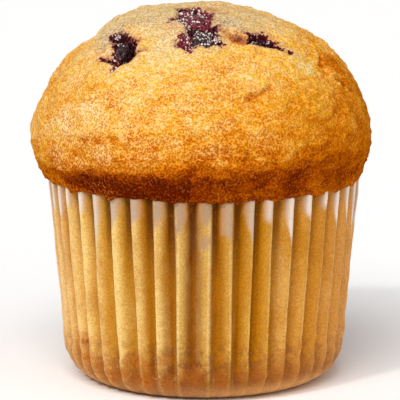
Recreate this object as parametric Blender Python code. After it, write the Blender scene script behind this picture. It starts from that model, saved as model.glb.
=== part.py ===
"""A blueberry muffin baked in a pleated paper case.

The case is a thin pleated cup with a flat base and a rounded foot. The cake fills it and is one
solid: a pleated body and, above the case's top edge, a domed crown that overhangs it all round.
Blueberries sit in pockets of the crown. Metres, +Z up, origin at the centre of the case's base.
"""

import math

import bmesh
import bpy
from mathutils import Vector, noise

# Paper case
CASE_FOOT_R = 0.0224  # flat base, where the rounded foot starts
CASE_CORNER_R = 0.0058  # rounding between base and wall
CASE_RIM_R = 0.0311  # over the pleats' crests at the top edge
CASE_HEIGHT = 0.0398
PAPER = 0.0003  # wall thickness
GAP = 0.0003  # clearance between neighbouring pieces
CORNER_STEPS = 3

# Pleats, shares of a pitch measured from the middle of a crest
PLEATS = 44
PLEAT_DEPTH = 0.0020  # at the top edge
PLEAT_RUNOUT = 0.0095  # height over which the pleats rise out of the base
FRONT = math.radians(-90)  # azimuth of the first crest
CREST_HALF = 0.25  # half of a crest's flat width
VALLEY_START = 0.35
PLEAT_DRIFT = 0.16  # slow change of spacing round the case, in pitches
PLEAT_WANDER = 0.12  # sideways wander from one pleat to the next, in pitches
DEPTH_UNEVEN = 0.25  # share by which a pleat's depth varies

# Crown, measured from the case's axis
CROWN_R = 0.0342
CROWN_SHIFT = Vector((-0.0009, 0.0002))  # the crown leans to one side of its case
CROWN_WIDEST_Z = 0.0478
CROWN_TOP_Z = 0.0743
CROWN_FULLNESS = 2.04  # exponent of the dome's superellipse, 2 is an ellipse
UNDERSIDE_CURVE = 1.6  # 1 is a straight slope, more is rounder
UNDERSIDE_STEPS = 3
DOME_STEPS = 14

# The pale middle of the crown rose last and stands over a split in the crust
LOBE_R = 0.0208
LOBE_RISE = 0.0015  # at its edge, on its high side
LOBE_EDGE = 0.0022  # how wide the step at its edge is
TROUGH_DEPTH = 0.0011  # of the hollow that runs round outside the step
TROUGH_WIDTH = 0.0048
LOBE_SIDE = math.radians(172)  # azimuth of the high side

SWELL_SIZE = 0.017  # size of the crown's slow bulges and hollows
SWELL_HEIGHT = 0.0009
SWELL_FADE = 4  # they are full from a quarter of the way up

# Blueberries: azimuth and distance from the axis, how far the middle lies below the crust, radius,
# flattening, and the tilt of the flattened side away from the crust's own direction
BERRY_STEPS = 2  # icosphere subdivisions
BERRY_DENTS = 0.05  # share of the radius
BERRIES = {
    "blueberry_left": (226, 0.0226, 0.0030, 0.0045, 0.92, 10),
    "blueberry_middle_front": (271, 0.0207, 0.0026, 0.0046, 0.86, -12),
    "blueberry_middle_back": (267, 0.0113, 0.0022, 0.0044, 0.90, 8),
    "blueberry_right": (305, 0.0204, 0.0036, 0.0048, 0.86, 25),
    "blueberry_back_left": (128, 0.0215, 0.0027, 0.0047, 0.90, -8),
    "blueberry_back_right": (60, 0.0200, 0.0028, 0.0044, 0.92, 14),
}


def smooth_step(x):
    x = min(max(x, 0.0), 1.0)
    return x * x * (3 - 2 * x)


def clear_scene():
    for obj in list(bpy.data.objects):
        bpy.data.objects.remove(obj)


def make_material(name, colour, roughness):
    material = bpy.data.materials.new(name)
    material.use_nodes = True
    shader = material.node_tree.nodes["Principled BSDF"]
    shader.inputs["Base Color"].default_value = (*colour, 1.0)
    shader.inputs["Roughness"].default_value = roughness
    shader.inputs["Metallic"].default_value = 0.0
    return material


def add_object(name, bm, material):
    """Closes the mesh's normals outwards and links it as one named object."""
    bmesh.ops.recalc_face_normals(bm, faces=bm.faces)
    mesh = bpy.data.meshes.new(name)
    bm.to_mesh(mesh)
    bm.free()
    mesh.materials.append(material)
    mesh.shade_smooth()
    mesh.set_sharp_from_angle(angle=math.radians(35))
    obj = bpy.data.objects.new(name, mesh)
    bpy.context.scene.collection.objects.link(obj)
    return obj


def join_rings(bm, lower, upper):
    """Quads between two closed rings with the same number of points."""
    for i, here in enumerate(lower):
        after = (i + 1) % len(lower)
        bm.faces.new((here, lower[after], upper[after], upper[i]))


def join_rings_two_to_one(bm, fine, coarse):
    """Triangles between a ring and one with half its points."""
    for i, here in enumerate(coarse):
        after = coarse[(i + 1) % len(coarse)]
        first, middle = fine[2 * i], fine[2 * i + 1]
        last = fine[(2 * i + 2) % len(fine)]
        bm.faces.new((first, middle, here))
        bm.faces.new((middle, after, here))
        bm.faces.new((middle, last, after))


def cap_ring(bm, ring, centre):
    """A fan from a ring to one point."""
    tip = bm.verts.new(centre)
    for i, here in enumerate(ring):
        bm.faces.new((here, ring[(i + 1) % len(ring)], tip))


def case_wall(inset):
    """(radius, height) of the crests' line from the base's edge upwards, moved inwards by inset."""
    corner = CASE_CORNER_R - inset
    points = []
    for step in range(CORNER_STEPS + 1):
        turn = math.radians(90) * step / CORNER_STEPS
        points.append(
            (
                CASE_FOOT_R + corner * math.sin(turn),
                CASE_CORNER_R - corner * math.cos(turn),
            )
        )
    points.append((CASE_RIM_R - inset, CASE_HEIGHT))
    return points


def pleat_noise(pleat, row):
    """An even spread of values from -1 to 1, one for each pleat, and another set for each row."""
    return noise.cell(Vector((pleat % PLEATS + 0.5, row + 0.5, 0.5))) * 2 - 1


def pleat_centre(pleat):
    """The middle of a crest, counted in pitches."""
    drift = PLEAT_DRIFT * math.cos(2 * math.tau * pleat / PLEATS)
    return pleat + drift + PLEAT_WANDER * pleat_noise(pleat, 0)


def pleat_depth(height, pleat):
    run_out = 1 - math.exp(-height / PLEAT_RUNOUT)
    return PLEAT_DEPTH * run_out * (1 + DEPTH_UNEVEN * pleat_noise(pleat, 1))


def pleat_ring(bm, radius, height, inset):
    """One ring of the pleated wall, four points to a pleat, moved inwards by inset on every side."""
    pitch = math.tau / PLEATS
    narrower = inset / (CASE_RIM_R * pitch)
    crest = CREST_HALF - narrower
    valley = VALLEY_START - narrower
    ring = []
    for pleat in range(PLEATS):
        depth = pleat_depth(height, pleat)
        here, after = pleat_centre(pleat), pleat_centre(pleat + 1)
        on_crest = [(here - crest, radius), (here + crest, radius)]
        in_valley = [(here + valley, radius - depth), (after - valley, radius - depth)]
        for place, reach in on_crest + in_valley:
            angle = FRONT + place * pitch
            spot = (reach * math.cos(angle), reach * math.sin(angle), height)
            ring.append(bm.verts.new(spot))
    return ring


def case_rings(bm, inset):
    return [pleat_ring(bm, radius, height, inset) for radius, height in case_wall(inset)]


def build_case(material):
    bm = bmesh.new()
    outside = case_rings(bm, 0.0)
    inside = case_rings(bm, PAPER)
    rings = outside + inside[::-1]
    for lower, upper in zip(rings, rings[1:]):
        join_rings(bm, lower, upper)
    cap_ring(bm, outside[0], (0, 0, 0))
    cap_ring(bm, inside[0], (0, 0, PAPER))
    return add_object("paper_case", bm, material)


def crown_radius(angle):
    """The crown's widest radius: round, with slow lobes."""
    lobes = 0.006 * math.cos(2 * angle + 0.4) + 0.007 * math.cos(3 * angle - 1.2)
    return CROWN_R * (1 + lobes)


def lobe_height(x, y, angle):
    """The rise of the crown's middle, steepest where the crust split."""
    reach = math.hypot(x, y)
    side = 0.5 + 0.5 * math.cos(angle - LOBE_SIDE)
    step = smooth_step((LOBE_R - reach) / LOBE_EDGE)
    rise = LOBE_RISE * (0.2 + 0.8 * side) * step * reach / LOBE_R
    across = (reach - LOBE_R) / TROUGH_WIDTH
    trough = TROUGH_DEPTH * side * math.exp(-across * across)
    return rise - trough * (1 - step)


def swell(point):
    """The crown's slow bulges, the same on every run."""
    return SWELL_HEIGHT * noise.noise(point / SWELL_SIZE)


def dome_point(angle, share):
    """A point of the crown's top, from share 0 at its widest ring to share 1 at its top."""
    turn = math.radians(90) * share
    power = 2 / CROWN_FULLNESS
    reach = crown_radius(angle) * math.cos(turn) ** power
    rise = math.sin(turn) ** power
    x = reach * math.cos(angle) + CROWN_SHIFT.x
    y = reach * math.sin(angle) + CROWN_SHIFT.y
    z = CROWN_WIDEST_Z + (CROWN_TOP_Z - CROWN_WIDEST_Z) * rise + lobe_height(x, y, angle)
    point = Vector((x, y, z))
    sideways = Vector((math.cos(angle), math.sin(angle), 0))
    outwards = sideways * math.cos(turn) + Vector((0, 0, math.sin(turn)))
    return point + outwards * swell(point) * smooth_step(share * SWELL_FADE)


def underside_point(angle, share):
    """A point of the overhang, from share 0 at the case's edge to share 1 at the widest ring."""
    widest = dome_point(angle, 0)
    edge = Vector((math.cos(angle), math.sin(angle), 0)) * (CASE_RIM_R + GAP)
    edge.z = CASE_HEIGHT + GAP
    point = edge.lerp(widest, 1 - (1 - share) ** UNDERSIDE_CURVE)
    point.z = edge.z + (widest.z - edge.z) * share
    return point


def crown_ring(bm, place, share):
    """One ring of the crown, with a point over the middle of each crest and each valley."""
    ring = []
    for pleat in range(PLEATS):
        crest = pleat_centre(pleat)
        valley = (crest + pleat_centre(pleat + 1)) / 2
        for middle in (crest, valley):
            angle = FRONT + middle * math.tau / PLEATS
            ring.append(bm.verts.new(place(angle, share)))
    return ring


def build_cake(material):
    bm = bmesh.new()
    body = case_rings(bm, PAPER + GAP)
    top_radius = CASE_RIM_R - PAPER - GAP
    body.append(pleat_ring(bm, top_radius, CASE_HEIGHT + GAP, PAPER + GAP))
    for lower, upper in zip(body, body[1:]):
        join_rings(bm, lower, upper)
    crown = []
    for step in range(UNDERSIDE_STEPS):
        crown.append(crown_ring(bm, underside_point, step / UNDERSIDE_STEPS))
    for step in range(DOME_STEPS):
        crown.append(crown_ring(bm, dome_point, step / DOME_STEPS))
    join_rings_two_to_one(bm, body[-1], crown[0])
    for lower, upper in zip(crown, crown[1:]):
        join_rings(bm, lower, upper)
    cap_ring(bm, body[0], (0, 0, PAPER + GAP))
    cap_ring(bm, crown[-1], dome_point(0, 1))
    return add_object("cake", bm, material)


def crown_surface(azimuth, distance):
    """The crust's point and outward direction at that azimuth and distance from the axis."""
    low, high = 0.0, 1.0
    for _ in range(40):
        middle = (low + high) / 2
        point = dome_point(azimuth, middle)
        if math.hypot(point.x, point.y) > distance:
            low = middle
        else:
            high = middle
    step = 0.01
    along = dome_point(azimuth, low + step) - dome_point(azimuth, low - step)
    across = dome_point(azimuth + step, low) - dome_point(azimuth - step, low)
    return dome_point(azimuth, low), across.cross(along).normalized()


def berry_mesh(radius, flattening, grow):
    """A round berry, a little flattened and dented, made larger all round by grow."""
    bm = bmesh.new()
    bmesh.ops.create_icosphere(bm, subdivisions=BERRY_STEPS, radius=1.0)
    for vert in bm.verts:
        direction = vert.co.normalized()
        dents = BERRY_DENTS * noise.noise(direction * 1.7 + Vector((radius * 1000, 0, 0)))
        reach = radius * (1 + dents) + grow
        vert.co = direction * reach
        vert.co.z *= flattening
    return bm


def build_berry(name, material, cake):
    azimuth, distance, depth, radius, flattening, tilt = BERRIES[name]
    surface, outwards = crown_surface(math.radians(azimuth), distance)
    place = surface - outwards * depth
    facing = outwards.to_track_quat("Z", "Y").to_euler()
    facing.rotate_axis("X", math.radians(tilt))
    berry = add_object(name, berry_mesh(radius, flattening, 0.0), material)
    pocket = add_object(name + "_pocket", berry_mesh(radius, flattening, GAP), material)
    for obj in (berry, pocket):
        obj.location = place
        obj.rotation_euler = facing
    pocket.hide_render = True
    pocket.display_type = "WIRE"
    cut = cake.modifiers.new(name, "BOOLEAN")
    cut.operation = "DIFFERENCE"
    cut.solver = "EXACT"
    cut.object = pocket


def main():
    clear_scene()
    crust = make_material("crust", (0.62, 0.27, 0.06), 0.6)
    paper = make_material("greased_paper", (0.72, 0.43, 0.14), 0.55)
    berry_skin = make_material("berry_skin", (0.04, 0.012, 0.03), 0.35)
    build_case(paper)
    cake = build_cake(crust)
    for name in BERRIES:
        build_berry(name, berry_skin, cake)


main()
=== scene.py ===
import math
import random

import bpy
import numpy as np
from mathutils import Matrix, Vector, noise
from mathutils.bvhtree import BVHTree


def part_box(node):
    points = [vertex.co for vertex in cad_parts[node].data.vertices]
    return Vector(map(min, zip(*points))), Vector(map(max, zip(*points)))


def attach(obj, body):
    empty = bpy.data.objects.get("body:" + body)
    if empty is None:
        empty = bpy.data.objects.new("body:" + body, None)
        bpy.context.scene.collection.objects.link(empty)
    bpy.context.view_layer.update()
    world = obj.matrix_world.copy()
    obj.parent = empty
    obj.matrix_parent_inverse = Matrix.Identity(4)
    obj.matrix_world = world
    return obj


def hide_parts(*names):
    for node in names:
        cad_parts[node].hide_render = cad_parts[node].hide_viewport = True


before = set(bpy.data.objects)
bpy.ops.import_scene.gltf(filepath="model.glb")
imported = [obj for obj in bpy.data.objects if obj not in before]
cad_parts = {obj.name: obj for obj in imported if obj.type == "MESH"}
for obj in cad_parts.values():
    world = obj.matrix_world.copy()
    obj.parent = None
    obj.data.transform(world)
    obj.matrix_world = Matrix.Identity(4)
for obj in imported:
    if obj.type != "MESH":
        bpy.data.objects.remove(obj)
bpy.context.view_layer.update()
print("frame loaded")

mm = 0.001
front = math.radians(-90)
caseLow, caseHigh = (Vector(corner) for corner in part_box("paper_case"))
cakeLow, cakeHigh = (Vector(corner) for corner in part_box("cake"))
rimHeight = caseHigh.z
crownHeight = cakeHigh.z - rimHeight


def pick(piece):
    bpy.ops.object.select_all(action="DESELECT")
    piece.select_set(True)
    bpy.context.view_layer.objects.active = piece


def startEditing(piece):
    pick(piece)
    bpy.ops.object.mode_set(mode="EDIT")
    bpy.ops.mesh.select_all(action="SELECT")


def stopEditing():
    bpy.ops.object.mode_set(mode="OBJECT")


def applyModifier(piece, kind, **settings):
    modifier = piece.modifiers.new(kind.title(), kind)
    for name, value in settings.items():
        setattr(modifier, name, value)
    pick(piece)
    bpy.ops.object.modifier_apply(modifier=modifier.name)


def readPoints(piece):
    points = np.empty(len(piece.data.vertices) * 3)
    piece.data.vertices.foreach_get("co", points)
    return points.reshape(-1, 3)


def writePoints(piece, points):
    piece.data.vertices.foreach_set("co", points.ravel())
    piece.data.update()


def readNormals(piece):
    normals = np.empty(len(piece.data.vertices) * 3)
    piece.data.vertices.foreach_get("normal", normals)
    return normals.reshape(-1, 3)


def storeAttribute(piece, name, values):
    attribute = piece.data.attributes.new(name, "FLOAT", "POINT")
    attribute.data.foreach_set("value", np.asarray(values, dtype=np.float32))


def smoothStep(values, low, high):
    share = np.clip((values - low) / (high - low), 0, 1)
    return share * share * (3 - 2 * share)


def noiseOf(points, size, seed=0.0, layers=3):
    # soft uneven values round 0, one for each point
    offset = Vector((seed, seed * 1.7, -seed))
    return np.array([noise.fractal(Vector(point) / size + offset, 1.0, 2.0, layers) for point in points])


def finishPiece(piece, material, nodes):
    piece.data.materials.clear()
    piece.data.materials.append(material)
    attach(piece, "root")
    if nodes:
        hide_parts(*nodes)


# shader building

def screenColour(red, green, blue):
    # 0 to 255 as seen on a screen, to the shader's linear values
    shares = [value / 255 for value in (red, green, blue)]
    return [*(((share + 0.055) / 1.055) ** 2.4 if share > 0.04 else share / 12.92 for share in shares), 1]


def newMaterial(name):
    material = bpy.data.materials.new(name)
    material.use_nodes = True
    return material, material.node_tree, material.node_tree.nodes["Principled BSDF"]


def feed(tree, socket, value):
    if isinstance(value, bpy.types.NodeSocket):
        tree.links.new(value, socket)
    else:
        socket.default_value = value


def objectPlace(tree, stretch=(1, 1, 1)):
    place = tree.nodes.new("ShaderNodeTexCoord").outputs["Object"]
    if stretch == (1, 1, 1):
        return place
    mapping = tree.nodes.new("ShaderNodeMapping")
    mapping.inputs["Scale"].default_value = stretch
    tree.links.new(place, mapping.inputs["Vector"])
    return mapping.outputs["Vector"]


def attributeValue(tree, name):
    node = tree.nodes.new("ShaderNodeAttribute")
    node.attribute_name = name
    return node.outputs["Fac"]


def noiseNode(tree, place, size, detail=2.0, roughness=0.5, distortion=0.0):
    node = tree.nodes.new("ShaderNodeTexNoise")
    feed(tree, node.inputs["Vector"], place)
    node.inputs["Scale"].default_value = 1 / size
    node.inputs["Detail"].default_value = detail
    node.inputs["Roughness"].default_value = roughness
    node.inputs["Distortion"].default_value = distortion
    return node.outputs["Fac"]


def cellNode(tree, place, size, feature="F1"):
    node = tree.nodes.new("ShaderNodeTexVoronoi")
    node.feature = feature
    feed(tree, node.inputs["Vector"], place)
    node.inputs["Scale"].default_value = 1 / size
    if feature == "SMOOTH_F1":
        node.inputs["Smoothness"].default_value = 0.6
    return node.outputs["Distance"]


def mathNode(tree, operation, first, second=0.0):
    node = tree.nodes.new("ShaderNodeMath")
    node.operation = operation
    feed(tree, node.inputs[0], first)
    feed(tree, node.inputs[1], second)
    return node.outputs[0]


def rangeNode(tree, value, low, high, toLow=0.0, toHigh=1.0, soft=False):
    node = tree.nodes.new("ShaderNodeMapRange")
    node.interpolation_type = "SMOOTHSTEP" if soft else "LINEAR"
    feed(tree, node.inputs["Value"], value)
    node.inputs["From Min"].default_value = low
    node.inputs["From Max"].default_value = high
    node.inputs["To Min"].default_value = toLow
    node.inputs["To Max"].default_value = toHigh
    return node.outputs["Result"]


def mixNode(tree, share, first, second, mode="MIX"):
    node = tree.nodes.new("ShaderNodeMix")
    node.data_type = "RGBA"
    node.blend_type = mode
    feed(tree, node.inputs[0], share)
    feed(tree, node.inputs[6], first)
    feed(tree, node.inputs[7], second)
    return node.outputs[2]


def rampNode(tree, value, stops):
    node = tree.nodes.new("ShaderNodeValToRGB")
    elements = node.color_ramp.elements
    elements[0].position, elements[0].color = stops[0]
    elements[1].position, elements[1].color = stops[-1]
    for place, shade in stops[1:-1]:
        elements.new(place).color = shade
    feed(tree, node.inputs["Fac"], value)
    return node.outputs["Color"]


def bumpNode(tree, height, distance, strength=1.0, under=None):
    node = tree.nodes.new("ShaderNodeBump")
    node.inputs["Strength"].default_value = strength
    node.inputs["Distance"].default_value = distance
    feed(tree, node.inputs["Height"], height)
    if under is not None:
        tree.links.new(under, node.inputs["Normal"])
    return node.outputs["Normal"]


# camera, light and floor

viewSettings = {
    "distance": 0.5,
    "elevation": math.radians(10.5),
    "lens": 225,
    "aim": Vector((-0.77, 0, 34.95)) * mm,
}

# strength, how far across it looks, and its turn, for each lamp
lampSettings = {
    "key": (1.95, math.radians(42), (math.radians(38), 0, math.radians(-18))),  # from the upper left, in front
    "fill": (0.5, math.radians(70), (math.radians(52), 0, math.radians(40))),
    "sparkle": (0.7, math.radians(5), (math.radians(46), 0, math.radians(-40))),  # small, for the wet glints
}
roomStrength = 0.32
floorShade = screenColour(254, 254, 255)


def cameraPlace():
    elevation = viewSettings["elevation"]
    back = Vector((0, -math.cos(elevation), math.sin(elevation))) * viewSettings["distance"]
    return viewSettings["aim"] + back


def addCamera():
    camera = bpy.data.objects.new("camera", bpy.data.cameras.new("camera"))
    bpy.context.scene.collection.objects.link(camera)
    elevation = viewSettings["elevation"]
    camera.location = cameraPlace()
    camera.rotation_euler = (math.radians(90) - elevation, 0, 0)
    camera.data.lens = viewSettings["lens"]
    camera.data.sensor_width = 36
    camera.data.clip_start = 0.01
    bpy.context.scene.camera = camera


def addLights():
    for name, (strength, width, turn) in lampSettings.items():
        lamp = bpy.data.objects.new(name, bpy.data.lights.new(name, "SUN"))
        bpy.context.scene.collection.objects.link(lamp)
        lamp.data.energy = strength
        lamp.data.angle = width
        lamp.data.color = (1.0, 0.985, 0.965)
        lamp.rotation_euler = turn
    world = bpy.data.worlds.new("studio")
    world.use_nodes = True
    background = world.node_tree.nodes["Background"]
    background.inputs["Color"].default_value = (1, 1, 1, 1)
    # it looks white behind the floor, and gives less light than that
    seen = world.node_tree.nodes.new("ShaderNodeLightPath").outputs["Is Camera Ray"]
    feed(world.node_tree, background.inputs["Strength"], rangeNode(world.node_tree, seen, 0, 1, roomStrength, 1))
    bpy.context.scene.world = world
    bpy.context.scene.view_settings.view_transform = "Standard"


def addFloor():
    bpy.ops.object.select_all(action="DESELECT")
    bpy.ops.mesh.primitive_plane_add(size=6, location=(0, 0, 0))
    floor = bpy.context.object
    floor.name = "floor"
    material, tree, shader = newMaterial("floorCard")
    grain = noiseNode(tree, objectPlace(tree), 0.002)
    shader.inputs["Base Color"].default_value = floorShade
    tree.links.new(rangeNode(tree, grain, 0, 1, 0.75, 0.85), shader.inputs["Roughness"])
    floor.data.materials.append(material)


addCamera()
addLights()
addFloor()
print("camera, light and floor set")


# laying marks on the crown: millimetres right of and above the middle of the camera's view

def sightLine(across, up, behind=False):
    elevation = viewSettings["elevation"]
    eye = cameraPlace()
    mark = viewSettings["aim"] + Vector((1, 0, 0)) * across * mm
    mark += Vector((0, math.sin(elevation), math.cos(elevation))) * up * mm
    towards = (mark - eye).normalized()
    if behind:
        return Vector((-eye.x, -eye.y, eye.z)), Vector((-towards.x, -towards.y, towards.z))
    return eye, towards


def crownTree(source):
    corners = [vertex.co.copy() for vertex in source.vertices]
    faces = [tuple(face.vertices) for face in source.polygons]
    return BVHTree.FromPolygons(corners, faces)


def crownSpot(mark, behind=False):
    place = crownFaces.ray_cast(*sightLine(mark[0], mark[1], behind))[0]
    if place is None:
        raise ValueError("a mark misses the crown: " + str(mark))
    return np.array(place)


def slopeAxes(middle):
    # across, up the slope and outwards, for the crust nearest a point
    outwards = crownFaces.find_nearest(Vector(middle))[1]
    across = Vector((0, 0, 1)).cross(outwards).normalized()
    return across, outwards.cross(across).normalized(), outwards.normalized()


# the paper case's sizes, which the crust's edge needs too

caseSettings = {
    "pleats": 44,
    "perPleat": 16,
    "baseRows": 5,
    "cornerRows": 11,
    "wallRows": 42,
    "footRadius": 21.0 * mm,
    "cornerRadius": 7.2 * mm,
    "rimRadius": 31.1 * mm,
    "overRim": 0.9 * mm,  # the top edge runs up into the crust
    "pleatDepth": 1.8 * mm,
    "runOut": 5.0 * mm,
    "paper": 0.12 * mm,
    "crestHalf": 0.21,  # shares of a pleat, from the middle of its crest
    "valleyStart": 0.45,
    "leanFrom": 36 * mm,  # below this height the pleats lean away from the front
    "leanFull": 26 * mm,
    "wander": 0.05,
    "sway": 0.05,
    "drySpot": (-0.1 * mm, 32.4 * mm, 1.2 * mm),  # a bare patch below the middle crest's dry tip
    "seed": 7,
}

# toasted stains low on the case, in front: across, height, radius in mm and strength
caseStains = [
    (-23.4, 9.8, 1.5, 0.9),
    (-23.0, 6.8, 1.7, 1.0),
    (-20.4, 5.4, 1.3, 0.7),
    (-17.8, 3.8, 1.5, 0.7),
    (-15.4, 5.2, 1.4, 0.75),
    (-12.6, 7.4, 1.7, 0.9),
    (-11.2, 3.8, 2.2, 1.0),
    (-8.0, 8.8, 1.5, 0.6),
    (-6.6, 4.0, 2.0, 0.8),
    (-2.2, 4.6, 2.8, 0.75),
    (3.4, 4.4, 2.6, 0.55),
    (9.0, 5.2, 2.8, 0.45),
    (15.0, 6.4, 3.2, 0.35),
]

# the pleats in front, counted from the middle one: shift in shares of a pleat, dry length in mm,
# and how much longer the dry part is on its right
frontPleats = {
    -9: (0.0, 5.0, 0.0),
    -8: (-0.05, 5.6, 0.0),
    -7: (-0.12, 3.2, 0.0),
    -6: (-0.12, 3.5, -0.3),
    -5: (-0.16, 6.5, -1.0),
    -4: (-0.08, 3.8, -0.8),
    -3: (0.03, 3.6, -0.6),
    -2: (0.02, 3.7, -0.5),
    -1: (0.0, 4.6, -0.5),
    0: (0.0, 3.8, 0.0),
    1: (0.0, 6.4, 0.2),
    2: (-0.04, 5.4, 0.8),
    3: (-0.16, 3.6, 0.2),
    4: (-0.12, 5.8, 0.9),
    5: (-0.14, 3.6, 0.5),
    6: (-0.08, 2.6, 0.3),
    7: (-0.16, 5.4, 0.8),
    8: (-0.1, 4.6, 0.9),
    9: (-0.03, 7.4, 0.9),
    10: (0.0, 9.0, 0.3),
}


# the cake: a fine copy of the frame's cake, sculpted

cakeSettings = {
    "voxel": 0.375 * mm,
    "smoothing": 22,  # rounds of smoothing, which take the flat facets off
    "hiddenBelow": rimHeight - 2.5 * mm,
    "bodyFoot": 0.9 * mm,
    "bodyTaper": 0.72,
    "seed": 4,
    "droop": 1.3 * mm,  # how far the crust's edge hangs over the paper
    "sink": 0.42 * mm,  # makes room for the lumps laid on top
}

# broad lobes and dips of the crown: middle, radius and height, all in mm
crownSwells = {
    "leftSide": ((-31.0, -3.0, 55.0), 11.0, -0.75),
    "leftShoulder": ((-21.5, -2.0, 65.5), 3.4, -1.3),
    "leftLobe": ((-15.5, -9.0, 69.0), 5.0, 0.55),
    "topLeft": ((-8.0, 2.0, 73.5), 7.0, -0.55),
    "topBump": ((2.9, 2.5, 74.6), 2.3, 0.75),
    "topRight": ((10.5, 2.0, 73.0), 5.0, -0.55),
    "rightLobe": ((6.5, -13.0, 71.5), 5.0, 0.5),
    "leftLow": ((-33.5, -3.0, 45.0), 6.5, 0.35),
    "rightFlapEdge": ((27.5, -8.0, 60.0), 3.6, 0.35),
    "backLobe": ((-10.0, 18.0, 68.0), 7.0, 0.6),
    "backDip": ((12.0, 26.0, 58.0), 7.0, -0.5),
}

# uneven layers of the crust: size of the lumps, height, how much flatter than wide
crustLayers = {
    "swells": (7.0 * mm, 0.40 * mm, 1.0),
    "folds": (3.0 * mm, 0.28 * mm, 2.0),
    "pebbles": (1.3 * mm, 0.16 * mm, 1.2),
    "grains": (0.75 * mm, 0.10 * mm, 1.0),
}

# splits and folds: marks along each, width, depth, height of the lip above it, seen from behind or not
crustCreases = {
    "rightSplit": ([(4.6, 34.2), (6.6, 32.8), (8.4, 31.9), (10.0, 31.6)], 1.3, 1.1, 0.5, False),
    "orangeFold": ([(-23.4, 12.2), (-20.0, 11.6), (-16.8, 12.4)], 1.2, 0.22, 0.4, False),
    "smallFold": ([(9.5, 20.3), (12.0, 21.2), (14.3, 22.6)], 0.9, 0.5, 0.4, False),
    "flapEdge": ([(24.0, 29.6), (24.2, 27.2), (25.4, 25.4)], 0.8, 0.5, 0.2, False),
    "flapLip": ([(27.0, 24.3), (28.8, 23.2), (30.6, 22.0)], 0.8, 0.6, 0.7, False),
    "rightWrinkle": ([(30.4, 5.4), (31.6, 7.0), (32.4, 8.8)], 0.7, 0.4, 0.5, False),
    "rightWrinkleLow": ([(31.4, 4.6), (32.2, 6.0), (32.8, 7.4)], 0.6, 0.3, 0.4, False),
    "middleFold": ([(-9.0, 11.6), (-5.0, 12.2), (0.0, 12.6)], 1.6, 0.2, 0.3, False),
    "backSplit": ([(-14.0, 31.6), (-9.0, 30.0), (-3.0, 29.4), (3.0, 30.2)], 1.4, 1.0, 0.6, True),
    "backFold": ([(6.0, 14.0), (12.0, 12.8), (18.0, 14.4)], 1.3, 0.6, 0.35, True),
    "backLowFold": ([(-20.0, 8.0), (-14.0, 6.8), (-8.0, 7.4)], 1.3, 0.5, 0.3, True),
}

# for each berry: seed, mark over its middle, seen from behind or not, half its size across, up the
# slope and through, and how far its top stands over the crust, in mm
berryShapes = {
    "blueberry_left": (3, (-16.3, 30.6), False, (1.5, 3.0, 2.0), -0.35),
    "blueberry_middle_front": (12, (0.5, 32.4), False, (2.5, 2.7, 1.8), 0.1),
    "blueberry_middle_back": (21, (-0.6, 36.7), False, (2.5, 3.2, 1.8), 0.1),
    "blueberry_right": (35, (12.2, 32.3), False, (2.1, 1.3, 1.5), -1.2),
    "blueberry_back_left": (44, (14.8, 30.8), True, (2.8, 2.8, 2.2), 0.0),
    "blueberry_back_right": (52, (-10.4, 33.4), True, (2.8, 2.6, 2.2), 0.0),
}

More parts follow.
